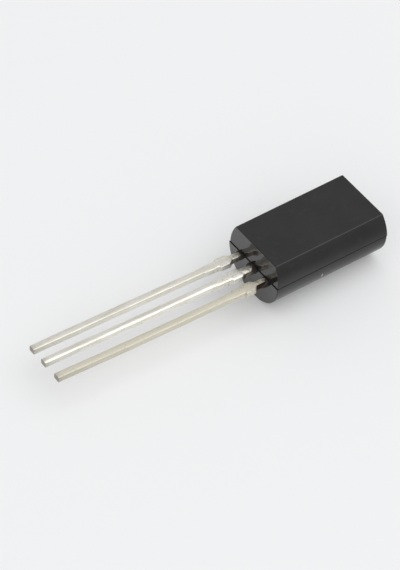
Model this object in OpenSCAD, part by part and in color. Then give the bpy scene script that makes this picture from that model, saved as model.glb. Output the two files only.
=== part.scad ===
// Long-body TO-92 transistor lying on the narrow land along its rounded back.
// Z = 0 is the surface it lies on, +Z leaves the flat marking face, +Y runs from the lead tips to the
// far end of the body, and X is the width. The leads leave the body in the plane where the two halves
// of the mould meet.

/* [Moulded body] */
// Width of the body where it is widest, which is also the diameter of its rounded back
body_w = 4.9; // [4.7:0.05:5.1]
// Length of the body along the leads
body_len = 8; // [7.8:0.05:8.2]
// Width of the flat face
flat_w = 4; // [3.6:0.05:4.2]
// Height of the straight walls beside the parting line, above which the flat side rounds over
wall_h = 0.12; // [0.04:0.01:0.2]
// Draft of the end faces on the flat side of the body, in degrees
front_draft = 4; // [1:0.5:7]
// Draft of the end faces on the rounded side of the body, in degrees
back_draft = 1; // [0.5:0.5:5]
// How far the flat half sits out of line with the rounded half, away from the leads
mismatch = 0.05; // [0.02:0.01:0.1]
// How far the flat half is set in from the rounded half along the sides
parting_step = 0.02; // [0.01:0.01:0.05]
// Radius of the long edges beside the flat face
edge_r = 0.1; // [0.04:0.01:0.2]
// Width of the narrow land along the lowest line of the back, which the body lies on
land_w = 1.2; // [0.8:0.05:1.4]

/* [Ejector pin mark on the back] */
// Diameter of the round mark
ejector_d = 1.2; // [0.8:0.1:1.6]
// Depth of the mark, measured up from the land
ejector_depth = 0.12; // [0.12:0.01:0.3]

/* [Leads outside the body] */
// Distance between neighbouring leads
pitch = 1.27; // [1.2:0.01:1.35]
// Length of the leads from the body to their tips
lead_len = 14.3; // [13:0.1:15]
// Width of a lead along most of its length
lead_w = 0.46; // [0.35:0.01:0.55]
// Thickness of the stamped strip
lead_t = 0.4; // [0.35:0.01:0.5]
// Width of the middle lead where it leaves the body
mid_neck_w = 0.6; // [0.4:0.01:0.7]
// Width of the two outer leads where they leave the body
side_neck_w = 0.42; // [0.35:0.01:0.6]
// Distance from the body to the stubs of the cut dam bar
neck_len = 0.95; // [0.6:0.05:1.4]
// Length of the dam bar stubs along the lead
stub_len = 0.65; // [0.4:0.05:1]
// Width of a lead across its dam bar stubs
stub_w = 0.78; // [0.72:0.01:0.95]
// Length over which the neck flares out into the stubs
flare_len = 0.2; // [0.1:0.05:0.5]
// Width of a lead just past the stubs
shoulder_w = 0.58; // [0.56:0.01:0.7]
// Length of the wide shoulder past the stubs
shoulder_len = 0.8; // [0.4:0.1:1.5]
// Length over which the shoulder narrows to the lead
taper_len = 0.4; // [0.2:0.1:1]
// Sideways shift of the emitter lead at its tip
emitter_shift = -0.5; // [-1:0.05:1]
// Sideways shift of the collector lead at its tip
collector_shift = -0.55; // [-1:0.05:1]
// Sideways shift of the base lead at its tip
base_shift = -0.45; // [-1:0.05:1]

/* [Lead frame inside the body] */
// Width of the pad that carries the die
flag_w = 3.2; // [2.4:0.1:3.4]
// Distance from the lead end of the body to the near edge of the pad
flag_start = 2.8; // [2.6:0.1:3.2]
// Length of the pad along the body
flag_len = 3.6; // [2.8:0.1:4.2]
// Size of the clipped corners of the pad
flag_clip = 0.35; // [0.1:0.05:0.6]
// Diameter of the hole that locks the pad in the moulding compound
lock_d = 1; // [0.6:0.1:1.2]
// Distance from the far edge of the pad to the centre of the lock hole
lock_inset = 0.95; // [0.75:0.05:1.2]
// Distance from the lead end of the body to the near edge of a wire post
post_start = 0.9; // [0.6:0.1:1.2]
// Length of a wire post along the body
post_len = 1.3; // [0.9:0.1:1.4]
// Width of a wire post
post_w = 1.05; // [0.7:0.05:1.15]
// Distance from the body's centre line to the near edge of a wire post
post_inset = 0.75; // [0.6:0.05:0.8]

/* [Die and bond wires] */
// Side of the square silicon die
die_w = 1.1; // [0.6:0.05:1.4]
// Thickness of the die
die_t = 0.22; // [0.15:0.01:0.3]
// Distance from the near edge of the pad to the near edge of the die
die_inset = 0.45; // [0.3:0.05:0.6]
// Thickness of the layer that fixes the die
attach_t = 0.03; // [0.02:0.01:0.05]
// How far the fixing layer spreads past the die on each side
attach_rim = 0.06; // [0.02:0.01:0.1]
// Diameter of a bond wire
wire_d = 0.05; // [0.04:0.005:0.08]
// Straight rise of a wire above its ball
loop_rise = 0.06; // [0.02:0.01:0.12]
// Radius of the bend at the top of a wire loop
loop_r = 0.15; // [0.1:0.01:0.2]
// Diameter of the ball that joins a wire to the die
ball_d = 0.12; // [0.09:0.01:0.16]
// Height of that ball
ball_t = 0.04; // [0.02:0.01:0.06]
// Distance from the die's centre line to each wire's ball
ball_offset = 0.27; // [0.15:0.01:0.4]
// Distance between the two balls along the body, with the emitter's one nearer the leads
ball_stagger = 0.3; // [0:0.05:0.5]

/* [Hidden] */
$fn = 96;

back_r = body_w / 2; // the back is half a cylinder
front_r = back_r - parting_step; // the flat side continues it, slightly set in
// height of the plane where the mould parts, which is also the leads' upper face
lead_z = sqrt(back_r * back_r - land_w * land_w / 4);
// from the parting plane to the flat
flat_h = wall_h + sqrt(front_r * front_r - flat_w * flat_w / 4);
total_len = lead_len + body_len + mismatch;
lead_end = lead_len - total_len / 2; // y of the end face that the leads leave
far_end = lead_end + body_len; // y of the rounded half's other end
spare = 1; // how far cutting shapes reach past what they cut

flag_y = lead_end + flag_start;
post_y = lead_end + post_start;
post_mid_y = post_y + post_len / 2;
die_y = flag_y + die_inset + die_w / 2;
die_z = lead_z + attach_t;
wire_r = wire_d / 2;
post_mid_x = post_inset + post_w / 2;
wire_sides = 8; // flat sides of a wire
bend_steps = 4; // straight pieces round the bend of a wire

BLACK = "#2b2b2a";
TIN = "#d8d6cc";
SILICON = "#5b5f66";
SOLDER = "#b9babb";
GOLD = "#d9b24c";

// A point that swings by angle a around c at distance r, measured from +X towards +Y
function polar(c, r, a) = [c[0] + r * cos(a), c[1] + r * sin(a)];

// Cuts a convex corner down to radius edge_r: a wedge from the round's centre, less the round.
// The corner lies between the outward directions a0 and a1, drawn in 2D.
module corner_cut(centre, a0, a1) {
    reach = 6 * edge_r;
    difference() {
        polygon([
            centre,
            polar(centre, reach, a0),
            polar(centre, 2 * reach, (a0 + a1) / 2),
            polar(centre, reach, a1)
        ]);
        translate(centre) circle(r = edge_r);
    }
}

// ---- Moulded case ----

// Section of the flat side across the body: x across, y above the parting plane
module front_section() {
    // centres of the rounds that touch both the flat and the curved sides
    round_y = flat_h - edge_r;
    round_x = sqrt(pow(front_r - edge_r, 2) - pow(round_y - wall_h, 2));
    side_angle = atan2(round_y - wall_h, round_x);
    difference() {
        union() {
            translate([0, wall_h]) circle(r = front_r);
            translate([-front_r, 0]) square([2 * front_r, wall_h]);
        }
        translate([-back_r - spare, -back_r - spare]) square([2 * (back_r + spare), back_r + spare]);
        translate([-back_r - spare, flat_h]) square([2 * (back_r + spare), back_r]);
        corner_cut([round_x, round_y], side_angle, 90);
        corner_cut([-round_x, round_y], 90, 180 - side_angle);
    }
}

// Side outline of the flat side: x along the body, y above the parting plane
module front_profile() {
    near = lead_end + mismatch;
    far = far_end + mismatch;
    rise = flat_h * tan(front_draft);
    polygon([[near, 0], [far, 0], [far - rise, flat_h], [near + rise, flat_h]]);
}

// Side outline of the rounded side: x along the body, y above the parting plane, so it hangs below 0
module back_profile() {
    rise = lead_z * tan(back_draft);
    polygon([[lead_end, 0], [far_end, 0], [far_end - rise, -lead_z], [lead_end + rise, -lead_z]]);
}

// Stands a section drawn in x and z up and runs it along the body
module along_body() {
    translate([0, far_end + spare, lead_z])
        rotate([90, 0, 0]) linear_extrude(body_len + 2 * spare) children();
}

// Stands a side outline drawn in y and z up and runs it across the body
module across_body() {
    translate([-back_r - spare, 0, lead_z])
        rotate([90, 0, 90]) linear_extrude(2 * (back_r + spare)) children();
}

module body_blank() {
    intersection() {
        along_body() front_section();
        across_body() front_profile();
    }
    intersection() {
        along_body() circle(r = back_r);
        across_body() back_profile();
    }
}

module case() {
    color(BLACK) difference() {
        body_blank();
        translate([0, (lead_end + far_end) / 2, -spare])
            cylinder(d = ejector_d, h = ejector_depth + spare);
        lead_frame();
        die();
        die_attach();
        emitter_wire();
        base_wire();
    }
}

// ---- Leads, each stamped from the strip in one piece ----

// Distance from the body and half width at each place where a lead's outer outline turns
function outline_stations(neck_w) = [
    [0, neck_w / 2],
    [neck_len - flare_len, neck_w / 2],
    [neck_len, stub_w / 2],
    [neck_len + stub_len, stub_w / 2],
    [neck_len + stub_len, shoulder_w / 2],
    [neck_len + stub_len + shoulder_len, shoulder_w / 2],
    [neck_len + stub_len + shoulder_len + taper_len, lead_w / 2],
    [lead_len, lead_w / 2]
];

// One side of the outer outline, from the body to the tip. The shift grows evenly along the lead.
function outline_side(x, neck_w, shift, side) = [
    for (s = outline_stations(neck_w)) [x + side * s[1] + shift * s[0] / lead_len, lead_end - s[0]]
];

function backwards(list) = [for (i = [len(list) - 1:-1:0]) list[i]];

// The outer outline and the inner one, which runs from the left of the neck round to its right
module stamped(x, neck_w, shift, inner) {
    translate([0, 0, lead_z - lead_t]) linear_extrude(lead_t)
        polygon(concat(
            inner,
            outline_side(x, neck_w, shift, 1),
            backwards(outline_side(x, neck_w, shift, -1))
        ));
}

module collector_lead() {
    half = flag_w / 2;
    far = flag_y + flag_len;
    color(TIN) difference() {
        stamped(0, mid_neck_w, collector_shift, [
            [-mid_neck_w / 2, flag_y],
            [-half + flag_clip, flag_y],
            [-half, flag_y + flag_clip],
            [-half, far - flag_clip],
            [-half + flag_clip, far],
            [half - flag_clip, far],
            [half, far - flag_clip],
            [half, flag_y + flag_clip],
            [half - flag_clip, flag_y],
            [mid_neck_w / 2, flag_y]
        ]);
        translate([0, far - lock_inset, lead_z - lead_t - spare])
            cylinder(d = lock_d, h = lead_t + 2 * spare);
    }
}

// A wire post: side is -1 for the emitter's and 1 for the base's
module side_lead(side, shift) {
    neck = side_neck_w / 2;
    near_x = side * post_inset;
    far_x = side * (post_inset + post_w);
    left_x = min(near_x, far_x);
    right_x = max(near_x, far_x);
    color(TIN) stamped(side * pitch, side_neck_w, shift, [
        [side * pitch - neck, post_y],
        [left_x, post_y],
        [left_x, post_y + post_len],
        [right_x, post_y + post_len],
        [right_x, post_y],
        [side * pitch + neck, post_y]
    ]);
}

module emitter_lead() {
    side_lead(-1, emitter_shift);
}

module base_lead() {
    side_lead(1, base_shift);
}

module lead_frame() {
    collector_lead();
    emitter_lead();
    base_lead();
}

// ---- Die, its fixing layer and the bond wires ----

module die_attach() {
    side = die_w + 2 * attach_rim;
    color(SOLDER) translate([-side / 2, die_y - side / 2, lead_z]) cube([side, side, attach_t]);
}

module die() {
    color(SILICON) translate([-die_w / 2, die_y - die_w / 2, die_z]) cube([die_w, die_w, die_t]);
}

// Rings of a wire: each is its centre's distance along the run and its height, how far the ring
// reaches along and up from there, and its half width. The wire rises from its ball, turns over and
// falls straight to the post, where it ends flat.
function wire_rings(run) =
    let (
        foot_z = die_z + die_t,
        ball_top = foot_z + ball_t,
        bend_z = ball_top + loop_rise,
        drop = bend_z - lead_z,
        reach = run - loop_r,
        fall = atan2(drop, reach) + asin(loop_r / norm([drop, reach]))
    )
    concat(
        [
            [0, foot_z, ball_d / 2, 0, ball_d / 2],
            [0, ball_top, ball_d / 2, 0, ball_d / 2],
            [0, ball_top, wire_r, 0, wire_r]
        ],
        [
            for (i = [0:bend_steps])
                let (a = 180 - (90 + fall) * i / bend_steps)
                [
                    loop_r * (1 + cos(a)),
                    bend_z + loop_r * sin(a),
                    -wire_r * cos(a),
                    -wire_r * sin(a),
                    wire_r
                ]
        ],
        [[run, lead_z, -wire_r / sin(fall), 0, wire_r]]
    );

// A wire from a ball on the die at start to a post at end
module bond_wire(start, end) {
    rings = wire_rings(norm(end - start));
    ahead = (end - start) / norm(end - start);
    last = len(rings) - 1;
    points = [
        for (ring = rings, k = [0:wire_sides - 1])
            let (
                a = 360 * k / wire_sides,
                along = ring[0] + ring[2] * cos(a),
                aside = ring[4] * sin(a)
            )
            [
                start[0] + ahead[0] * along - ahead[1] * aside,
                start[1] + ahead[1] * along + ahead[0] * aside,
                ring[1] + ring[3] * cos(a)
            ]
    ];
    walls = [
        for (j = [0:last - 1], k = [0:wire_sides - 1])
            let (next = (k + 1) % wire_sides)
            [
                j * wire_sides + k,
                (j + 1) * wire_sides + k,
                (j + 1) * wire_sides + next,
                j * wire_sides + next
            ]
    ];
    foot = [for (k = [0:wire_sides - 1]) k];
    tail = [for (k = [wire_sides - 1:-1:0]) last * wire_sides + k];
    color(GOLD) polyhedron(points, concat([foot], walls, [tail]));
}

module emitter_wire() {
    bond_wire([-ball_offset, die_y - ball_stagger / 2], [-post_mid_x, post_mid_y]);
}

module base_wire() {
    bond_wire([ball_offset, die_y + ball_stagger / 2], [post_mid_x, post_mid_y]);
}

case();
collector_lead();
emitter_lead();
base_lead();
die();
die_attach();
emitter_wire();
base_wire();
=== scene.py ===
"""Looks of a long-body TO-92 transistor that lies on its rounded back, with its leads uncut."""

import math

import bmesh
import bpy
from mathutils import Matrix, Vector, noise


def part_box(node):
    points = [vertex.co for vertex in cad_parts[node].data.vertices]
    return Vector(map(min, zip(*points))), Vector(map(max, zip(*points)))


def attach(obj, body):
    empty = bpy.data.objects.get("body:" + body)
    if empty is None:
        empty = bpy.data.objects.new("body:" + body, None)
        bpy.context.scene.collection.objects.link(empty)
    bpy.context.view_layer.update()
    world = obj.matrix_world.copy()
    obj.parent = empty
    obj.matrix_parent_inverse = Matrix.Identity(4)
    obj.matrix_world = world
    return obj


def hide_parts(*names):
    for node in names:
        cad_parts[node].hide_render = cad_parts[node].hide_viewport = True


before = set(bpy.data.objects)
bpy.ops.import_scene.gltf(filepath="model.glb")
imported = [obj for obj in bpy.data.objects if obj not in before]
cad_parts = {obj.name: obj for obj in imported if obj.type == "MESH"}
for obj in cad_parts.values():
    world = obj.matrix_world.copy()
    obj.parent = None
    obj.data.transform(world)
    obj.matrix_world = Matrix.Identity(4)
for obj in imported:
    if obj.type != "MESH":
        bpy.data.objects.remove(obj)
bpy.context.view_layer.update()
MM = 0.001


# ---- Moulded case ----
# The case is black epoxy filled with fine silica, moulded in one shot round the lead frame. The
# mould parts at the leads' upper face. Its upper half forms the flat face, and sits a little out of
# line with the lower one, which forms the half cylinder of the back.

BACK_R = 2.45 * MM
PARTING_STEP = 0.02 * MM
FRONT_R = BACK_R - PARTING_STEP
FLAT_W = 4 * MM
LAND_W = 1.2 * MM  # a guess, as the underside can't be seen
PARTING_Z = math.sqrt(BACK_R**2 - (LAND_W / 2) ** 2)
WALL_H = 0.12 * MM
FLAT_SHY = 0.00002 * MM  # keeps the flat just under the top of the CAD case
FLAT_H = WALL_H + math.sqrt(FRONT_R**2 - (FLAT_W / 2) ** 2) - FLAT_SHY
LEAD_END = 3.125 * MM
FAR_END = 11.125 * MM
MISMATCH = 0.05 * MM
FRONT_DRAFT = math.radians(4)
BACK_DRAFT = math.radians(1)
FLAT_EDGE_R = 0.1 * MM
END_EDGE_R = 0.045 * MM
END_EDGE_STEPS = 5
LONG_EDGE_STEPS = 6
ARC_STEP = math.radians(2)
EJECTOR_R = 0.6 * MM
EJECTOR_DEPTH = 0.12 * MM
EJECTOR_SIDES = 96
CUTTER_LEN = 2 * MM
SCRATCH_Y = 6.56 * MM
SCRATCH_SLANT = 0.04
SCRATCH_LOW = 1.2 * MM
SCRATCH_MIDDLE = 1.62 * MM
SCRATCH_HIGH = 1.82 * MM
SCRATCH_START_X = 1.5 * MM
SCRATCH_FULL_X = 2 * MM
SCRATCH_FAINT = 0.045 * MM
SCRATCH_CORE = 0.018 * MM
CASE_SHARP = math.radians(32)
LARGE_FACES_FIRST = 100
END_FACING = 0.9  # how squarely a face has to look along the body to count as its end

SKIN_RELIEF = 0.0006 * MM
SKIN_DARK = (0.0025, 0.0035, 0.0015)
SKIN_LIGHT = (0.0105, 0.0105, 0.009)
SKIN_MOTTLE = (0.014, 0.0115, 0.016, 1)
SCUFF_GREY = (0.03, 0.028, 0.027, 1)
SCRATCH_PALE = (0.85, 0.74, 0.7, 1)
# Greys of the end faces: their duller finish, lifted with a painted reflection of the pale table
# they mirror
END_DARK = (0.010, 0.0095, 0.0095)
END_LIGHT = (0.017, 0.016, 0.016)


class Field:
    """A value that varies over a finish: the output socket of one of its nodes."""

    def __init__(self, tree, socket):
        self.tree = tree
        self.socket = socket

    def node(self, kind, settings, inputs, output=0):
        """A new node of any type: its settings come first, then its sockets' values or links."""
        node = self.tree.nodes.new(kind)
        for name, value in settings.items():
            setattr(node, name, value)
        for key, value in inputs.items():
            if isinstance(value, Field):
                self.tree.links.new(value.socket, node.inputs[key])
            else:
                node.inputs[key].default_value = value
        return Field(self.tree, node.outputs[output])

    def math(self, operation, *values):
        return self.node("ShaderNodeMath", {"operation": operation}, dict(enumerate(values)))

    def __add__(self, other):
        return self.math("ADD", self, other)

    __radd__ = __add__

    def __mul__(self, other):
        return self.math("MULTIPLY", self, other)

    __rmul__ = __mul__

    def __sub__(self, other):
        return self.math("SUBTRACT", self, other)

    def __rsub__(self, other):
        return self.math("SUBTRACT", other, self)

    def between(self, low, high):
        """0 below low, 1 above high and a smooth rise from one to the other."""
        return self.node(
            "ShaderNodeMapRange",
            {"interpolation_type": "SMOOTHSTEP"},
            {"Value": self, "From Min": low, "From Max": high},
        )

    def axis(self, letter):
        return self.node("ShaderNodeSeparateXYZ", {}, {0: self}, output="XYZ".index(letter))

    def stretched(self, x, y, z):
        return self.node("ShaderNodeMapping", {}, {"Vector": self, "Scale": (x, y, z)})

    def grain(self, size, detail=2.0, roughness=0.5):
        """Soft noise from 0 to 1 whose lumps are about size across."""
        return self.node(
            "ShaderNodeTexNoise",
            {},
            {"Vector": self, "Scale": 1 / size, "Detail": detail, "Roughness": roughness},
        )

    def cells(self, size):
        return self.node("ShaderNodeTexVoronoi", {}, {"Vector": self, "Scale": 1 / size})

    def tint(self, low, high):
        """A colour between two, with this value as the share of the second."""
        return self.node(
            "ShaderNodeMix", {"data_type": "RGBA"}, {0: self, 6: (*low, 1), 7: (*high, 1)}, output=2
        )

    def over(self, colour, under):
        """The colour where this value is 1, and what is under it where it is 0."""
        return self.node(
            "ShaderNodeMix", {"data_type": "RGBA"}, {0: self, 6: under, 7: colour}, output=2
        )

    def relief(self, depth):
        return self.node(
            "ShaderNodeBump", {}, {"Height": self, "Strength": 1.0, "Distance": depth}
        )


def new_finish(name):
    """A new material, its object coordinates and its Principled shader."""
    finish = bpy.data.materials.new(name)
    finish.use_nodes = True
    tree = finish.node_tree
    tree.nodes.clear()
    shader = tree.nodes.new("ShaderNodeBsdfPrincipled")
    end = tree.nodes.new("ShaderNodeOutputMaterial")
    tree.links.new(shader.outputs[0], end.inputs["Surface"])
    place = tree.nodes.new("ShaderNodeTexCoord")
    return finish, Field(tree, place.outputs["Object"]), shader


def dress(shader, **sockets):
    """Sets the shader's sockets by name, to values or to fields."""
    for name, value in sockets.items():
        socket = shader.inputs[name.replace("_", " ")]
        if isinstance(value, Field):
            value.tree.links.new(value.socket, socket)
        else:
            socket.default_value = value


def made_of(bm, name):
    """The object made of a finished bmesh, placed in the scene at the origin."""
    mesh = bpy.data.meshes.new(name)
    bm.to_mesh(mesh)
    bm.free()
    made = bpy.data.objects.new(name, mesh)
    bpy.context.collection.objects.link(made)
    return made


def whole(name, modifiers_on, finish):
    """Turns an object with modifiers into a finished plain piece at the origin."""
    graph = bpy.context.evaluated_depsgraph_get()
    graph.update()
    mesh = bpy.data.meshes.new_from_object(modifiers_on.evaluated_get(graph))
    mesh.name = name
    bpy.data.objects.remove(modifiers_on)
    piece = bpy.data.objects.new(name, mesh)
    bpy.context.collection.objects.link(piece)
    mesh.materials.clear()
    mesh.materials.append(finish)
    return piece


def punched(piece, name, radius, middle, segments, finish):
    """The piece with a round recess or hole cut by an upright cylinder round the middle."""
    bm = bmesh.new()
    bmesh.ops.create_cone(
        bm,
        cap_ends=True,
        segments=segments,
        radius1=radius,
        radius2=radius,
        depth=CUTTER_LEN,
        matrix=Matrix.Translation(middle),
    )
    cutter = made_of(bm, "cutter")
    cut = piece.modifiers.new("round_cut", "BOOLEAN")
    cut.operation = "DIFFERENCE"
    cut.solver = "EXACT"
    cut.object = cutter
    piece = whole(name, piece, finish)
    bpy.data.objects.remove(cutter)
    return piece


def front_outline():
    """Half section above the parting plane, from +X round to -X: x, z and the outward direction."""
    round_z = FLAT_H - FLAT_EDGE_R
    round_x = math.sqrt((FRONT_R - FLAT_EDGE_R) ** 2 - (round_z - WALL_H) ** 2)
    side = math.atan2(round_z - WALL_H, round_x)
    points = [(FRONT_R, 0, 0)]
    steps = round(side / ARC_STEP)
    for i in range(steps):
        a = side * i / steps
        points.append((FRONT_R * math.cos(a), WALL_H + FRONT_R * math.sin(a), a))
    for i in range(LONG_EDGE_STEPS + 1):
        a = side + (math.pi / 2 - side) * i / LONG_EDGE_STEPS
        x, z = round_x + FLAT_EDGE_R * math.cos(a), round_z + FLAT_EDGE_R * math.sin(a)
        points.append((x, z, a))
    right = [(x, z, math.cos(a), math.sin(a)) for x, z, a in points]
    return right + [(-x, z, -nx, nz) for x, z, nx, nz in reversed(right)]


def back_outline():
    """Half section below the parting plane, from -X round the bottom to +X."""
    land = math.asin(LAND_W / 2 / BACK_R)
    steps = round((math.pi / 2 - land) / ARC_STEP)
    left = []
    for i in range(steps + 1):
        a = math.pi + (math.pi / 2 - land) * i / steps
        left.append((BACK_R * math.cos(a), BACK_R * math.sin(a), math.cos(a), math.sin(a)))
    return left + [(-x, z, -nx, nz) for x, z, nx, nz in reversed(left)]


def shell(bm, outline, near_y, far_y, draft):
    """Walls and ends of one mould half: rings along the body, with a small round at each end."""
    rings = []
    for end in (0, 1):
        for k in range(END_EDGE_STEPS + 1):
            a = math.pi / 2 * (k if end == 0 else END_EDGE_STEPS - k) / END_EDGE_STEPS
            inset = END_EDGE_R * (1 - math.sin(a))
            depth = END_EDGE_R * (1 - math.cos(a))
            ring = []
            for x, z, nx, nz in outline:
                px, pz = x - nx * inset, z - nz * inset
                lean = abs(pz) * math.tan(draft) + depth
                y = near_y + lean if end == 0 else far_y - lean
                ring.append(bm.verts.new((px, y, pz + PARTING_Z)))
            rings.append(ring)
    for a, b in zip(rings, rings[1:]):
        for j in range(len(a) - 1):
            bm.faces.new((a[j], a[j + 1], b[j + 1], b[j]))
    bm.faces.new(rings[0])
    bm.faces.new(rings[-1])
    return rings


bm = bmesh.new()
front = shell(bm, front_outline(), LEAD_END + MISMATCH, FAR_END + MISMATCH, FRONT_DRAFT)
back = shell(bm, back_outline(), LEAD_END, FAR_END, BACK_DRAFT)
for i in range(len(front) - 1):
    bm.faces.new((front[i][0], front[i + 1][0], back[i + 1][-1], back[i][-1]))
    bm.faces.new((front[i][-1], front[i + 1][-1], back[i + 1][0], back[i][0]))
bm.faces.new((front[0][0], front[0][-1], back[0][0], back[0][-1]))
bm.faces.new((front[-1][0], front[-1][-1], back[-1][0], back[-1][-1]))
bmesh.ops.recalc_face_normals(bm, faces=bm.faces)
blank = made_of(bm, "case_blank")

compound, at, shader = new_finish("moulding_compound")
cloud = at.grain(1.6 * MM, detail=3)
sand = at.grain(0.035 * MM, detail=3, roughness=0.6)
filler = at.cells(0.07 * MM)
polish = at.grain(0.5 * MM, detail=4)
plain_end = at.node("ShaderNodeAttribute", {"attribute_name": "plain_end"}, {}, output="Fac")
mottle = at.grain(0.45 * MM, detail=5, roughness=0.65)
blend = cloud * 0.5 + sand * 0.5
skin = blend.between(0.3, 0.7).tint(SKIN_DARK, SKIN_LIGHT)
skin = mottle.between(0.52, 0.7).over(SKIN_MOTTLE, skin)
scuffs = at.stretched(1, 0.5, 1).grain(0.16 * MM, detail=5, roughness=0.7)
skin = scuffs.between(0.7, 0.78).over(SCUFF_GREY, skin)
off_scratch = at.axis("Y") - SCRATCH_Y + at.axis("Z") * SCRATCH_SLANT
scratch = (
    off_scratch.math("ABSOLUTE", off_scratch).between(SCRATCH_FAINT, SCRATCH_CORE)
    * at.axis("Z").between(SCRATCH_LOW, SCRATCH_MIDDLE)
    * at.axis("Z").between(SCRATCH_HIGH, SCRATCH_MIDDLE)
    * at.axis("X").between(SCRATCH_START_X, SCRATCH_FULL_X)
)
# The end faces are painted a lighter grey than the skin: partly their duller finish, partly a
# painted reflection of the pale table they mirror.
end_grey_and_painted_sheen = blend.tint(END_DARK, END_LIGHT)
dress(
    shader,
    Base_Color=scratch.over(SCRATCH_PALE, plain_end.over(end_grey_and_painted_sheen, skin)),
    Roughness=(
        0.06 + polish * 0.05 + sand * 0.03 + scratch * 0.4 + mottle.between(0.5, 0.8) * 0.05
    ),
    Coat_Weight=plain_end * 0.4,
    Coat_Roughness=0.03,
    Normal=(sand * 0.7 + filler.between(0.0, 0.4) * 0.3).relief(SKIN_RELIEF),
    IOR=1.53,
)

ejector_top = (0, (LEAD_END + FAR_END) / 2, EJECTOR_DEPTH - CUTTER_LEN / 2)
case = punched(blank, "moulded_case", EJECTOR_R, ejector_top, EJECTOR_SIDES, compound)
case.data.shade_smooth()
case.data.set_sharp_from_angle(angle=CASE_SHARP)
weight = case.modifiers.new("flat_faces_first", "WEIGHTED_NORMAL")
weight.keep_sharp = True
weight.weight = LARGE_FACES_FIRST
case = whole("moulded_case", case, compound)
ends = case.data.attributes.new("plain_end", "FLOAT", "FACE")
for face in case.data.polygons:
    ends.data[face.index].value = 1.0 if abs(face.normal.y) > END_FACING else 0.0
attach(case, "root")
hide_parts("case")


# ---- Stamped leads ----
# Three leads are stamped from copper strip in one frame, tinned, moulded in and then cut apart.
# The bar that joined them is sheared off next to the body, which leaves a stub on each side of
# each lead. Stamping and plating leave the upper face crowned, and more so on the middle lead.

LEAD_LEN = 14.3 * MM
TIP_Y = LEAD_END - LEAD_LEN
LEAD_T = 0.4 * MM
LEAD_W = 0.46 * MM
PITCH = 1.27 * MM
NECK_LEN = 0.95 * MM
MID_NECK_W = 0.6 * MM
SIDE_NECK_W = 0.42 * MM
STUB_LEN = 0.65 * MM
STUB_W = 0.78 * MM
FLARE_LEN = 0.2 * MM
SHOULDER_W = 0.58 * MM
SHOULDER_LEN = 0.8 * MM
TAPER_LEN = 0.4 * MM
ROLLOVER_R = 0.06 * MM
BURR_R = 0.025 * MM
CORNER_STEPS = 5
CROWN_STEPS = 8
INNER_CROWN = 0.001 * MM
STATION_GAP = 0.1 * MM
WANDER = 0.012 * MM  # how far a side strays from its line
WANDER_RATE = 1400
CROWN_SWELL = 0.5
SWELL_RATE = 420
LEAD_STRIDE = 3.7  # keeps the noise of the three leads apart
EDGE_STRIDE = 7.3  # keeps the noise of a lead's two sides and its crown apart
LEAD_SHARP = math.radians(40)
# Each lead's way out: x where it leaves the case, neck width, shift of its tip, four times its bow
EMITTER_WAY = (-PITCH, SIDE_NECK_W, -0.5 * MM, 0.0)
COLLECTOR_WAY = (0.0, MID_NECK_W, -0.55 * MM, 0.03 * MM)
BASE_WAY = (PITCH, SIDE_NECK_W, -0.45 * MM, 0.28 * MM)
# Each lead's surface: crown of its upper face, stain and painted shade round its neck, dullness of
# its tin
EMITTER_FACE = (0.012 * MM, 0.45, 0.25)
COLLECTOR_FACE = (0.05 * MM, 0.4, 0.0)
BASE_FACE = (0.016 * MM, 1.0, 1.0)

# Shares of the stain on the necks' sides, which next to the case is partly painted shade
STUB_STAIN_AND_SHADE = 0.4
LEFT_STAIN_AND_SHADE = 1.8
STAIN_AND_SHADE_FALL = 3
DARK_NECK_SPREAD = 2.4
DARK_NECK_FALL = 3
# Bands of the finish, by the distance from the case where each begins and where it is full
# The first band darkens the lead where it leaves the case: stain with painted shade in the corner
EXIT_STAIN_AND_SHADE = (0.3 * MM, 0.05 * MM)
HEAT_TINT = (1.2 * MM, 0.2 * MM)
SOLDER_DIP = (3.2 * MM, 2 * MM)
# Length before each tip over which the leads are greyed as painted shade
TIP_SHADE_LEN = 0.4 * MM
CUT_SKIN = 0.012 * MM
CUT_SKIN_FULL = 0.004 * MM
TIN_RELIEF = 0.013 * MM
TIN_GREY = (0.82, 0.79, 0.69)
TIN_BRIGHT = (0.95, 0.93, 0.87)
TIN_DULL = (0.66, 0.61, 0.48, 1)
TIP_SHADE_GREY = (0.55, 0.53, 0.48, 1)
SPECK_BROWN = (0.36, 0.33, 0.24, 1)
CUT_METAL = (0.52, 0.48, 0.41, 1)
HEAT_BROWN = (0.22, 0.14, 0.09, 1)
STAIN_AND_SHADE_BROWN = (0.045, 0.026, 0.017, 1)


def centre_line(way, s):
    """The x of a lead's middle at the distance s from the case."""
    x0, _, shift, bow = way
    share = s / LEAD_LEN
    return x0 + shift * share + bow * share * (1 - share)


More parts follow.
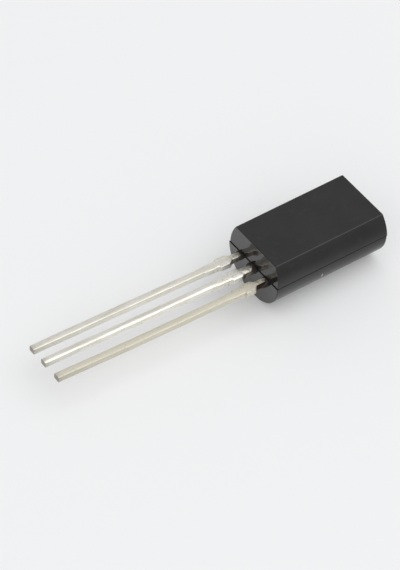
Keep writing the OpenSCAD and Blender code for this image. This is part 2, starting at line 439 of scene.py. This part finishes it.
def lead_stations(way, crown, stain_and_shade, inner):
    """The lead from inside the body to its tip: y, left x, right x, crown, stain and painted shade
    on its sides.
    """
    x0, neck_w = way[:2]
    stations = [(LEAD_END + s, left, right, INNER_CROWN, 0.0) for s, left, right in inner]
    marks = [
        (0, neck_w, stain_and_shade),
        (NECK_LEN - FLARE_LEN, neck_w, stain_and_shade),
        (NECK_LEN, STUB_W, stain_and_shade * STUB_STAIN_AND_SHADE),
        (NECK_LEN + STUB_LEN, STUB_W, 0.0),
        (NECK_LEN + STUB_LEN, SHOULDER_W, 0.0),
        (NECK_LEN + STUB_LEN + SHOULDER_LEN, SHOULDER_W, 0.0),
        (NECK_LEN + STUB_LEN + SHOULDER_LEN + TAPER_LEN, LEAD_W, 0.0),
        (LEAD_LEN, LEAD_W, 0.0),
    ]
    outside = []
    for (s0, w0, c0), (s1, w1, c1) in zip(marks, marks[1:]):
        pieces = max(1, round((s1 - s0) / STATION_GAP))
        for i in range(pieces):
            t = i / pieces
            outside.append((s0 + (s1 - s0) * t, w0 + (w1 - w0) * t, c0 + (c1 - c0) * t))
    outside.append(marks[-1])
    for s, width, neck in outside:
        centre = centre_line(way, s)
        left_wander, right_wander, swell = (
            noise.noise(Vector((x0 / PITCH * LEAD_STRIDE + k * EDGE_STRIDE, s * rate, 0.5)))
            for k, rate in enumerate((WANDER_RATE, WANDER_RATE, SWELL_RATE))
        )
        stations.append(
            (
                LEAD_END - s,
                centre - width / 2 + left_wander * WANDER,
                centre + width / 2 + right_wander * WANDER,
                crown * (1 + swell * CROWN_SWELL),
                neck,
            )
        )
    return stations


def ring_section(left, right, low, high, crown):
    """Section of a lead from its right upper corner anticlockwise: a crowned top, upright sides."""
    half = (right - left) / 2
    middle = (right + left) / 2
    tilt = 2 * math.atan(crown / half)
    crown_r = (half - ROLLOVER_R * (1 - math.sin(tilt))) / math.sin(tilt)
    corner_z = high - crown_r * (1 - math.cos(tilt)) - ROLLOVER_R * math.cos(tilt)
    points = []
    for i in range(CORNER_STEPS):
        a = (math.pi / 2 - tilt) * i / CORNER_STEPS
        x, z = right - ROLLOVER_R * (1 - math.cos(a)), corner_z + ROLLOVER_R * math.sin(a)
        points.append((x, z, math.cos(a)))
    for i in range(CROWN_STEPS + 1):
        a = tilt * (1 - 2 * i / CROWN_STEPS)
        points.append((middle + crown_r * math.sin(a), high - crown_r * (1 - math.cos(a)), 0.0))
    for x, z, sideways in reversed(points[:CORNER_STEPS]):
        points.append((2 * middle - x, z, sideways))
    for start, x in ((180, left + BURR_R), (270, right - BURR_R)):
        for i in range(CORNER_STEPS + 1):
            a = math.radians(start + 90 * i / CORNER_STEPS)
            points.append(
                (x + BURR_R * math.cos(a), low + BURR_R * (1 + math.sin(a)), abs(math.cos(a)))
            )
    return points


def stamping(name, stations, dull):
    """A lead made from its stations, with the stain and painted shade and the dullness kept as
    attributes.
    """
    bm = bmesh.new()
    side_stain_and_shade = bm.verts.layers.float.new("side_stain_and_shade")
    dullness = bm.verts.layers.float.new("dull")
    dark_neck_share = max(0.0, 2 * dull - 1)  # the dullest lead's neck is stained and darkened with painted shade further round
    along_fall = 1 + DARK_NECK_FALL * dark_neck_share
    round_fall = STAIN_AND_SHADE_FALL - DARK_NECK_SPREAD * dark_neck_share
    rings = []
    for y, left, right, crown, neck in stations:
        ring = []
        for x, z, sideways in ring_section(left, right, PARTING_Z - LEAD_T, PARTING_Z, crown):
            vert = bm.verts.new((x, y, z))
            if x < (left + right) / 2:
                stain_and_shade = neck * LEFT_STAIN_AND_SHADE * sideways
            else:
                stain_and_shade = neck**along_fall * sideways**round_fall * (1 + dark_neck_share)
            vert[side_stain_and_shade] = min(1.0, stain_and_shade)
            vert[dullness] = dull
            ring.append(vert)
        rings.append(ring)
    for a, b in zip(rings, rings[1:]):
        for j in range(len(a)):
            k = (j + 1) % len(a)
            bm.faces.new((a[j], a[k], b[k], b[j]))
    bm.faces.new(rings[0])
    bm.faces.new(rings[-1])
    bmesh.ops.recalc_face_normals(bm, faces=bm.faces)
    lead = made_of(bm, name)
    lead.data.shade_smooth()
    lead.data.set_sharp_from_angle(angle=LEAD_SHARP)
    return lead


tinned, at, shader = new_finish("tinned_copper")
side_stain_and_shade = at.node("ShaderNodeAttribute", {"attribute_name": "side_stain_and_shade"}, {}, output="Fac")
dull = at.node("ShaderNodeAttribute", {"attribute_name": "dull"}, {}, output="Fac")
drawn = at.stretched(1, 0.08, 1).grain(0.03 * MM, detail=3)
lumps = at.stretched(1, 0.35, 1).grain(0.3 * MM, detail=2)
patches = at.grain(0.9 * MM, detail=3)
streaks = at.stretched(1, 0.04, 1).grain(0.13 * MM, detail=3)
specks = at.grain(0.085 * MM, detail=2)
exit_y = at.axis("Y")
exit_stain_and_shade, near_body, dipped = (
    exit_y.between(LEAD_END - begins, LEAD_END - full)
    for begins, full in (EXIT_STAIN_AND_SHADE, HEAT_TINT, SOLDER_DIP)
)
tip_shade = exit_y.between(TIP_Y + TIP_SHADE_LEN, TIP_Y)
cut_end = exit_y.between(TIP_Y + CUT_SKIN, TIP_Y + CUT_SKIN_FULL)
knobs = at.stretched(1, 0.7, 1).grain(0.13 * MM, detail=3) * dipped
blotch = at.grain(0.22 * MM, detail=4)
# Brown stain on the necks. It is near-black where the side stain is strong and right at the case,
# which is stain with painted shade in the corner between neck and case.
brown = near_body * blotch.between(0.5, 0.66) * 0.5 + side_stain_and_shade * 1.5 + exit_stain_and_shade * 0.35
dark_stain_and_shade = side_stain_and_shade.between(0.5, 0.95) * (0.8 + blotch * 0.4) + exit_stain_and_shade * side_stain_and_shade * 1.2
tin_colour = patches * 0.4 + streaks * 0.6
tin_colour = tin_colour.between(0.34, 0.62).tint(TIN_GREY, TIN_BRIGHT)
tin_colour = (dull * (0.35 + patches * 0.5)).over(TIN_DULL, tin_colour)
# Painted shade: each lead is greyed over its last part before the tip.
tin_colour = (tip_shade * 0.55).over(TIP_SHADE_GREY, tin_colour)
speckled = specks.between(0.6, 0.68) * (0.3 + dipped * 0.6)
tin_colour = speckled.over(SPECK_BROWN, tin_colour)
tin_colour = (cut_end * 0.8).over(CUT_METAL, tin_colour)
tin_colour = brown.math("MINIMUM", brown, 1.0).over(HEAT_BROWN, tin_colour)
tin_colour = dark_stain_and_shade.math("MINIMUM", dark_stain_and_shade, 1.0).over(STAIN_AND_SHADE_BROWN, tin_colour)
dress(
    shader,
    Base_Color=tin_colour,
    Metallic=1.0,
    Roughness=0.2 + lumps * 0.1 + drawn * 0.08 + patches * 0.06 + dull * 0.22 + cut_end * 0.2,
    Normal=(lumps * 0.8 + drawn * 0.2 + knobs * 1.6).relief(TIN_RELIEF),
)

FLAG_START = 2.8 * MM
FLAG_LEN = 3.6 * MM
FLAG_W = 3.2 * MM
FLAG_CLIP = 0.35 * MM
LOCK_R = 0.5 * MM
LOCK_SIDES = 64
LOCK_INSET = 0.95 * MM
POST_START = 0.9 * MM
POST_LEN = 1.3 * MM
POST_W = 1.05 * MM
POST_INSET = 0.75 * MM

flag_far = FLAG_START + FLAG_LEN
pad = []
for s, half in (
    (flag_far, FLAG_W / 2 - FLAG_CLIP),
    (flag_far - FLAG_CLIP, FLAG_W / 2),
    (FLAG_START + FLAG_CLIP, FLAG_W / 2),
    (FLAG_START, FLAG_W / 2 - FLAG_CLIP),
    (FLAG_START, MID_NECK_W / 2),
):
    pad.append((s, -half, half))
crown, stain_and_shade, dull_share = COLLECTOR_FACE
collector_run = lead_stations(COLLECTOR_WAY, crown, stain_and_shade, pad)
collector = stamping("collector_stamping", collector_run, dull_share)
lock_middle = (0, LEAD_END + flag_far - LOCK_INSET, PARTING_Z)
collector = punched(
    collector, "collector_stamping", LOCK_R, lock_middle, LOCK_SIDES, tinned
)
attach(collector, "root")
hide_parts("collector_lead")

for side, node, way, (crown, stain_and_shade, dull_share) in (
    (-1, "emitter", EMITTER_WAY, EMITTER_FACE),
    (1, "base", BASE_WAY, BASE_FACE),
):
    near_x, far_x = side * POST_INSET, side * (POST_INSET + POST_W)
    left_x, right_x = min(near_x, far_x), max(near_x, far_x)
    post = [
        (POST_START + POST_LEN, left_x, right_x),
        (POST_START, left_x, right_x),
        (POST_START, side * PITCH - SIDE_NECK_W / 2, side * PITCH + SIDE_NECK_W / 2),
    ]
    lead_run = lead_stations(way, crown, stain_and_shade, post)
    lead = stamping(node + "_stamping", lead_run, dull_share)
    lead.data.materials.append(tinned)
    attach(lead, "root")
    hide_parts(node + "_lead")


# ---- Flash and painted shade at the leads ----
# Where the mould closes on the leads, a little compound creeps out along each neck and sets as a
# thin ragged skin. It is thickest in the corner between the neck's side and the parting plane. Its
# dark sleeves also stand in as painted shade in that corner, where each neck meets the case.

FLASH_ROOT = 0.03 * MM
FLASH_REACH = 0.34 * MM
FLASH_SKIN = 0.016 * MM
FLASH_LUMP = 0.085 * MM
FLASH_SINK = 0.006 * MM
FLASH_STEPS = 8
FLASH_POINTS = 72
FLASH_FOCUS = 5
FLASH_STRIDE = 5
FLASH_SHARP = math.radians(50)
LEAST_REACH = 0.12
LEAST_SKIN = 0.4
RAGGED_RATE = 3.1
LUMPY_RATE = 4.3
NEARLY_NONE = 1e-6

CRUST_RELIEF = 0.006 * MM
CRUST_BLACK = (0.006, 0.005, 0.004)
CRUST_BROWN = (0.05, 0.028, 0.014)


def flash_and_shade_sleeve(bm, lead_way, lumps):
    """A ragged sleeve of flash and painted shade round a neck, with lumps: each has its way round
    the neck, size and reach.
    """
    x0, neck_w = lead_way[:2]
    stride = x0 / PITCH * FLASH_STRIDE
    rings = []
    for k in range(FLASH_STEPS + 1):
        ring = []
        for j in range(FLASH_POINTS):
            a = 2 * math.pi * j / FLASH_POINTS
            way = Vector((math.cos(a), math.sin(a)))
            ragged, lumpy = (
                0.5 + noise.noise(Vector((way.x * rate + stride, way.y * rate, 3.0 + rate)))
                for rate in (RAGGED_RATE, LUMPY_RATE)
            )
            swell = reach = 0.0
            for toward, size, length in lumps:
                corner = max(0.0, math.cos(a - math.radians(toward))) ** FLASH_FOCUS
                swell += corner * size * (0.5 + lumpy)
                reach = max(reach, corner * length)
            reach = FLASH_REACH * max(LEAST_REACH, ragged * 0.5 + reach)
            s = -FLASH_ROOT + (reach + FLASH_ROOT) * k / FLASH_STEPS
            thick = FLASH_SKIN * (LEAST_SKIN + lumpy) + FLASH_LUMP * swell
            side_edge = neck_w / 2 / max(abs(way.x), NEARLY_NONE)
            edge = min(side_edge, LEAD_T / 2 / max(abs(way.y), NEARLY_NONE))
            out = edge + thick * math.sqrt(1 - (k / FLASH_STEPS) ** 2) - FLASH_SINK
            x = centre_line(lead_way, max(0.0, s)) + way.x * out
            high = min(way.y * out, LEAD_T / 2 + FLASH_SKIN)
            ring.append(bm.verts.new((x, LEAD_END - s, PARTING_Z - LEAD_T / 2 + high)))
        rings.append(ring)
    for a, b in zip(rings, rings[1:]):
        for j in range(FLASH_POINTS):
            k = (j + 1) % FLASH_POINTS
            bm.faces.new((a[j], a[k], b[k], b[j]))
    bm.faces.new(rings[0])
    bm.faces.new(rings[-1])


bm = bmesh.new()
flash_and_shade_sleeve(bm, EMITTER_WAY, ((28, 0.8, 0.5), (165, 0.4, 0.7)))
flash_and_shade_sleeve(bm, COLLECTOR_WAY, ((24, 0.9, 0.65), (150, 0.3, 0.3)))
flash_and_shade_sleeve(bm, BASE_WAY, ((30, 0.6, 0.35), (-32, 0.8, 1.25)))
bmesh.ops.recalc_face_normals(bm, faces=bm.faces)
exit_flash_and_shade = made_of(bm, "lead_exit_flash_and_shade")
exit_flash_and_shade.data.shade_smooth()
exit_flash_and_shade.data.set_sharp_from_angle(angle=FLASH_SHARP)

# Near-black compound for the sleeves: real flash, and painted shade in the corners at the exits
crust, at, shader = new_finish("flash_compound_and_shade")
mottle = at.grain(0.06 * MM, detail=3)
dress(
    shader,
    Base_Color=mottle.between(0.45, 0.62).tint(CRUST_BLACK, CRUST_BROWN),
    Roughness=0.35 + mottle * 0.25,
    Normal=at.grain(0.04 * MM, detail=3).relief(CRUST_RELIEF),
)
exit_flash_and_shade.data.materials.append(crust)
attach(exit_flash_and_shade, "root")


# ---- Chip, its solder and the bond wires ----
# Inside the case a silicon chip is soldered to the middle lead's pad, and a gold wire runs from the
# chip to each outer lead's post. None of it shows from outside, so its form is the usual one.

CHIP_RELIEF = 0.002 * MM
CHIP_BLUE = (0.07, 0.08, 0.11)
CHIP_METAL = (0.55, 0.55, 0.52)
SOLDER_RELIEF = 0.004 * MM
SOLDER_DARK = (0.42, 0.42, 0.43)
SOLDER_LIGHT = (0.62, 0.62, 0.62)
WIRE_RELIEF = 0.001 * MM
GOLD_DEEP = (0.78, 0.55, 0.18)
GOLD_PALE = (0.9, 0.68, 0.28)

silicon, at, shader = new_finish("silicon_chip")
bands = at.stretched(1, 0.02, 1).grain(0.08 * MM, detail=0)
dress(
    shader,
    Base_Color=bands.between(0.45, 0.55).tint(CHIP_BLUE, CHIP_METAL),
    Metallic=bands.between(0.45, 0.55),
    Roughness=0.12 + at.grain(0.05 * MM) * 0.1,
    Normal=bands.between(0.45, 0.55).relief(CHIP_RELIEF),
)

solder, at, shader = new_finish("solder_layer")
dress(
    shader,
    Base_Color=at.grain(0.1 * MM, detail=3).tint(SOLDER_DARK, SOLDER_LIGHT),
    Metallic=1.0,
    Roughness=0.35 + at.grain(0.05 * MM) * 0.2,
    Normal=at.grain(0.06 * MM).relief(SOLDER_RELIEF),
)

gold, at, shader = new_finish("gold_wire")
dress(
    shader,
    Base_Color=at.grain(0.06 * MM, detail=3).tint(GOLD_DEEP, GOLD_PALE),
    Metallic=1.0,
    Roughness=0.2 + at.grain(0.02 * MM) * 0.12,
    Normal=at.grain(0.015 * MM).relief(WIRE_RELIEF),
)

for node, finish in (("die", silicon), ("die_attach", solder)):
    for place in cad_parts[node].material_slots:
        place.material = finish

WIRE_D = 0.05 * MM
WIRE_SIDES = 16
BALL_D = 0.12 * MM
BALL_T = 0.04 * MM
BALL_SEGMENTS = 24
BALL_RINGS = 12
LOOP_RISE = 0.06 * MM
LOOP_R = 0.15 * MM
BALL_OFFSET = 0.27 * MM
BALL_STAGGER = 0.3 * MM
LOOP_STEPS = 16
STITCH_LEN = 0.1 * MM
STITCH_LIFT = 0.6

wire_tree = bpy.data.node_groups.new("bond_wire", "GeometryNodeTree")
for name, kind, way in (
    ("Route", "NodeSocketGeometry", "INPUT"),
    ("Wire diameter", "NodeSocketFloat", "INPUT"),
    ("Ball diameter", "NodeSocketFloat", "INPUT"),
    ("Ball height", "NodeSocketFloat", "INPUT"),
    ("Finish", "NodeSocketMaterial", "INPUT"),
    ("Wire", "NodeSocketGeometry", "OUTPUT"),
):
    wire_tree.interface.new_socket(name, in_out=way, socket_type=kind)
asked = wire_tree.nodes.new("NodeGroupInput")


def given(name):
    """One of the wire's inputs."""
    return Field(wire_tree, asked.outputs[name])


on_route = given("Route")
round_section = on_route.node(
    "GeometryNodeCurvePrimitiveCircle",
    {},
    {"Resolution": WIRE_SIDES, "Radius": given("Wire diameter") * 0.5},
)
drawn_wire = on_route.node(
    "GeometryNodeCurveToMesh",
    {},
    {"Curve": on_route, "Profile Curve": round_section, "Fill Caps": True},
)
ball = on_route.node(
    "GeometryNodeMeshUVSphere",
    {},
    {"Segments": BALL_SEGMENTS, "Rings": BALL_RINGS, "Radius": given("Ball diameter") * 0.5},
)
flatness = on_route.math("DIVIDE", given("Ball height"), given("Ball diameter"))
squash = on_route.node("ShaderNodeCombineXYZ", {}, {0: 1.0, 1: 1.0, 2: flatness})
first_point = on_route.node(
    "GeometryNodeCurveEndpointSelection", {}, {"Start Size": 1, "End Size": 0}
)
balls = on_route.node(
    "GeometryNodeInstanceOnPoints",
    {},
    {"Points": on_route, "Selection": first_point, "Instance": ball, "Scale": squash},
)
joined = wire_tree.nodes.new("GeometryNodeJoinGeometry")
for part in (drawn_wire, balls):
    wire_tree.links.new(part.socket, joined.inputs[0])
real = on_route.node("GeometryNodeRealizeInstances", {}, {0: Field(wire_tree, joined.outputs[0])})
coated = on_route.node(
    "GeometryNodeSetMaterial", {}, {"Geometry": real, "Material": given("Finish")}
)
made = wire_tree.nodes.new("NodeGroupOutput")
wire_tree.links.new(coated.socket, made.inputs[0])

wire_inputs = {
    "Wire diameter": WIRE_D,
    "Ball diameter": BALL_D,
    "Ball height": BALL_T,
    "Finish": gold,
}
die_low, die_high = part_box("die")
die_mid_y = (die_low[1] + die_high[1]) / 2
post_mid = Vector((POST_INSET + POST_W / 2, LEAD_END + POST_START + POST_LEN / 2))
for side, node in ((-1, "emitter"), (1, "base")):
    start = Vector((side * BALL_OFFSET, die_mid_y + side * BALL_STAGGER / 2))
    end = Vector((side * post_mid.x, post_mid.y))
    ahead = (end - start).normalized()
    bend_z = die_high[2] + BALL_T + LOOP_RISE
    run, drop = (end - start).length, bend_z - PARTING_Z
    fall = math.atan2(drop, run - LOOP_R) + math.asin(LOOP_R / math.hypot(drop, run - LOOP_R))
    route = [(0, die_high[2] + BALL_T / 2)]
    for i in range(LOOP_STEPS + 1):
        a = math.pi - (math.pi / 2 + fall) * i / LOOP_STEPS
        route.append((LOOP_R * (1 + math.cos(a)), bend_z + LOOP_R * math.sin(a)))
    lift = STITCH_LEN / 2 * math.tan(fall) * STITCH_LIFT
    route.append((run - STITCH_LEN / 2, PARTING_Z + WIRE_D / 2 + lift))
    route.append((run, PARTING_Z + WIRE_D / 2))
    route.append((run + STITCH_LEN, PARTING_Z + WIRE_D / 4))
    line = bpy.data.curves.new(node + "_bond", "CURVE")
    line.dimensions = "3D"
    spline = line.splines.new("POLY")
    spline.points.add(len(route) - 1)
    for point, (along, z) in zip(spline.points, route):
        flat_place = start + ahead * along
        point.co = (flat_place.x, flat_place.y, z, 1)
    wire = bpy.data.objects.new(node + "_bond", line)
    bpy.context.collection.objects.link(wire)
    swept = wire.modifiers.new("bond_wire", "NODES")
    swept.node_group = wire_tree
    for item in wire_tree.interface.items_tree:
        if item.name in wire_inputs:
            swept[item.identifier] = wire_inputs[item.name]
    wire = whole(node + "_bond_wire", wire, gold)
    wire.data.shade_smooth()
    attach(wire, "root")
    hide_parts(node + "_wire")


# ---- Table, light and camera ----
# A plain pale table in a pale room, with broad soft lamps overhead, beside it and in front. The
# room is darker to two sides, which gives the case and the leads something to mirror.

TABLE_HALF = 2.0
# The table's bounce light and mirror image dim between these distances from its middle
BRIGHT_TO = 4 * MM
DIM_FROM = 16 * MM
TABLE_PALE = (0.79, 0.79, 0.792, 1)
TABLE_DIM = (0.55, 0.55, 0.555, 1)
TABLE_GLOW = (0.12, 0.12, 0.12)
NO_GLOW = (0, 0, 0)
ROOM_PALE = (0.98, 0.99, 1.0, 1)
ROOM_LIGHT = 0.82
DIM_WAY = (-0.57, 0.39, 0.72)
DIM_LOSS = 0.17
DARK_WAY = (-0.56, -0.5, 0.66)
DARK_LOSS = 0.5
LOW_LOSS = 0.2

bm = bmesh.new()
bmesh.ops.create_grid(bm, x_segments=1, y_segments=1, size=TABLE_HALF)
table_top = made_of(bm, "table_top")
paper, at, shader = new_finish("pale_paper")
ray = at.node("ShaderNodeLightPath", {}, {}, output="Is Camera Ray")
from_middle = at.node("ShaderNodeVectorMath", {"operation": "LENGTH"}, {0: at}, output=1)
far_off = from_middle.between(BRIGHT_TO, DIM_FROM) * (1 - ray)
mirrored_ray = Field(ray.tree, ray.socket.node.outputs["Is Glossy Ray"])
dress(
    shader,
    Base_Color=far_off.over(TABLE_DIM, TABLE_PALE),
    Roughness=0.9,
    Emission_Color=(ray + mirrored_ray * (1 - far_off)).tint(NO_GLOW, TABLE_GLOW),
    Emission_Strength=1.0,
)
table_top.data.materials.append(paper)

world = bpy.data.worlds.new("pale_room")
world.use_nodes = True
bpy.context.scene.world = world
room = world.node_tree.nodes["Background"]
room.inputs["Color"].default_value = ROOM_PALE
looking = world.node_tree.nodes.new("ShaderNodeTexCoord")
toward = Field(world.node_tree, looking.outputs["Generated"])
dim_part, dark_part = (
    toward.node(
        "ShaderNodeVectorMath", {"operation": "DOT_PRODUCT"}, {0: toward, 1: way}, output=1
    )
    for way in (DIM_WAY, DARK_WAY)
)
above_horizon = toward.axis("Z")
room_light = ROOM_LIGHT - dim_part.between(0.86, 0.985) * DIM_LOSS
room_light = room_light - dark_part.between(0.87, 0.96) * DARK_LOSS
room_light = room_light - above_horizon.between(0.5, 0.1) * LOW_LOSS
world.node_tree.links.new(room_light.socket, room.inputs["Strength"])


def soft_lamp(name, place, size, power):
    """A square lamp that faces the middle of the table."""
    light = bpy.data.lights.new(name, "AREA")
    light.shape = "SQUARE"
    light.size = size
    light.energy = power
    lamp = bpy.data.objects.new(name, light)
    lamp.location = place
    lamp.rotation_mode = "QUATERNION"
    lamp.rotation_quaternion = (Vector((0, 0, 0)) - Vector(place)).to_track_quat("-Z", "Y")
    bpy.context.collection.objects.link(lamp)


soft_lamp("overhead", (0, 0, 0.55), 0.3, 0.1)
soft_lamp("window", (0.25, 0.14, 0.47), 0.5, 0.2)
soft_lamp("far_window", (0.12, 0.26, 0.47), 0.5, 0.48)
soft_lamp("front_fill", (0.36, -0.3, 0.29), 0.4, 0.4)

# The camera looks down on the flat from the base lead's side.
AZIMUTH = math.radians(54.552)
ELEVATION = math.radians(46.214)
ROLL = math.radians(0.98)
DISTANCE = 198.23 * MM
FOCAL_LEN = 213.21
SENSOR_W = 36
NEAR_CLIP = 0.01
FAR_CLIP = 10
ASIDE = Vector((3.111 * MM, 1.135 * MM))
EXIT_POINT = Vector((0, LEAD_END, PARTING_Z))
back_way = Vector(
    (
        math.sin(AZIMUTH) * math.cos(ELEVATION),
        -math.cos(AZIMUTH) * math.cos(ELEVATION),
        math.sin(ELEVATION),
    )
)
level_right = Vector((0, 0, 1)).cross(back_way).normalized()
level_up = back_way.cross(level_right)
right_way = level_right * math.cos(ROLL) + level_up * math.sin(ROLL)
up_way = level_up * math.cos(ROLL) - level_right * math.sin(ROLL)
lens = bpy.data.cameras.new("camera")
lens.sensor_width = SENSOR_W
lens.lens = FOCAL_LEN
lens.clip_start = NEAR_CLIP
lens.clip_end = FAR_CLIP
camera = bpy.data.objects.new("camera", lens)
turn = Matrix((right_way, up_way, back_way)).transposed().to_4x4()
place = EXIT_POINT - right_way * ASIDE.x - up_way * ASIDE.y + back_way * DISTANCE
camera.matrix_world = Matrix.Translation(place) @ turn
bpy.context.collection.objects.link(camera)
bpy.context.scene.camera = camera
bpy.context.scene.view_settings.view_transform = "Standard"
